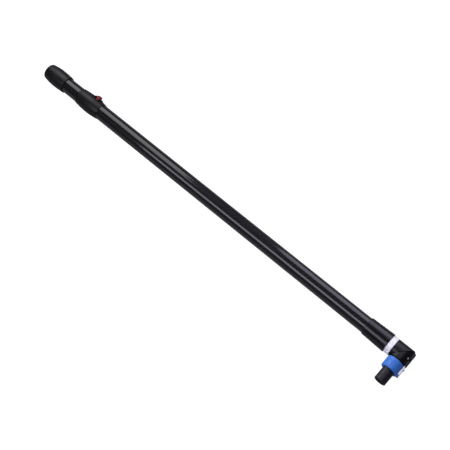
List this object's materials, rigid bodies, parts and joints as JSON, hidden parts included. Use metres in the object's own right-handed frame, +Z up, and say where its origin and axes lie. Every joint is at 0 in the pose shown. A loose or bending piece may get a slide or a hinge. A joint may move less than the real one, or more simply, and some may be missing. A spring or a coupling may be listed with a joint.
{
  "type": "boom pole",
  "caption": "Straight pole with a push-button take-apart collar near its capped end and a right-angle locking connector at its foot, wired inside from end to end.",
  "frame": {"origin": "middle of the bottom of the bounding box, on the surface the pole lies on", "axes": "+X along the pole from the capped end to the connector end; +Z up; the connector's insert points to -Y and a little down; the red button is on the +Y side"},
  "size_m": [0.8242, 0.078, 0.0357],
  "materials": {
    "carbon_tube": "clear-coated woven carbon fibre, near black, glossy",
    "black_rubber": "moulded black rubber-like plastic, fine matt grain",
    "black_plastic": "moulded black nylon, satin",
    "red_plastic": "moulded dark red plastic, semi-gloss",
    "white_plastic": "moulded white plastic with a cool tint, satin",
    "blue_plastic": "moulded blue nylon, satin, finely ribbed",
    "aluminium": "turned aluminium, fine turning marks",
    "steel": "nickel-plated steel, lightly brushed",
    "plated_contact": "gold-plated brass",
    "seal_rubber": "black nitrile rubber, matt",
    "cable_jacket": "black rubber cable jacket, matt"
  },
  "bodies": {
    "pole": {"main_tube": "carbon_tube", "collar_shell": "black_rubber", "button_surround": "black_plastic", "lower_sleeve": "black_plastic", "elbow_inlet": "black_plastic", "elbow_outlet": "black_plastic", "insert_barrel": "black_plastic", "contact_carrier": "black_plastic", "cable_chuck": "black_plastic", "coupling_socket": "black_plastic", "white_ring": "white_plastic", "locking_ring": "blue_plastic", "coupling_body": "aluminium", "coupling_front_bush": "aluminium", "adapter_bush": "aluminium", "button_spring": "steel", "latch_spring": "steel", "housing_screw": "steel", "ring_seal": "seal_rubber", "main_cable": "cable_jacket", "contact_1": "plated_contact", "contact_2": "plated_contact", "contact_3": "plated_contact", "contact_4": "plated_contact"},
    "release": {"release_button": "red_plastic", "latch_plate": "steel"},
    "latch": {"release_latch": "steel"},
    "upper": {"end_cap": "black_rubber", "cap_seal": "seal_rubber", "upper_tube": "carbon_tube", "socket_carrier": "black_plastic", "coupling_plug": "black_plastic", "upper_cable": "cable_jacket", "spigot": "aluminium", "spigot_seal": "seal_rubber", "socket_pin_1": "plated_contact", "socket_pin_2": "plated_contact", "socket_pin_3": "plated_contact", "socket_pin_4": "plated_contact", "coupling_pin_1": "plated_contact", "coupling_pin_2": "plated_contact", "coupling_pin_3": "plated_contact", "coupling_pin_4": "plated_contact"}
  },
  "joints": [
    {"name": "button_press", "type": "slide", "parent": "pole", "child": "release", "axis": [0, -0.7619, -0.6477], "range_m": [0, 0.0025], "stiffness_N_per_m": 600, "springref_m": -0.004, "deforming": ["button_spring"]},
    {"name": "latch_slide", "type": "slide", "parent": "pole", "child": "latch", "axis": [0, 0.9983, 0.0587], "range_m": [0, 0.003], "stiffness_N_per_m": 500, "springref_m": -0.004, "deforming": ["latch_spring"]},
    {"name": "section_pull", "type": "slide", "parent": "pole", "child": "upper", "axis": [-1, 0, 0], "range_m": [0, 0.08]}
  ]
}
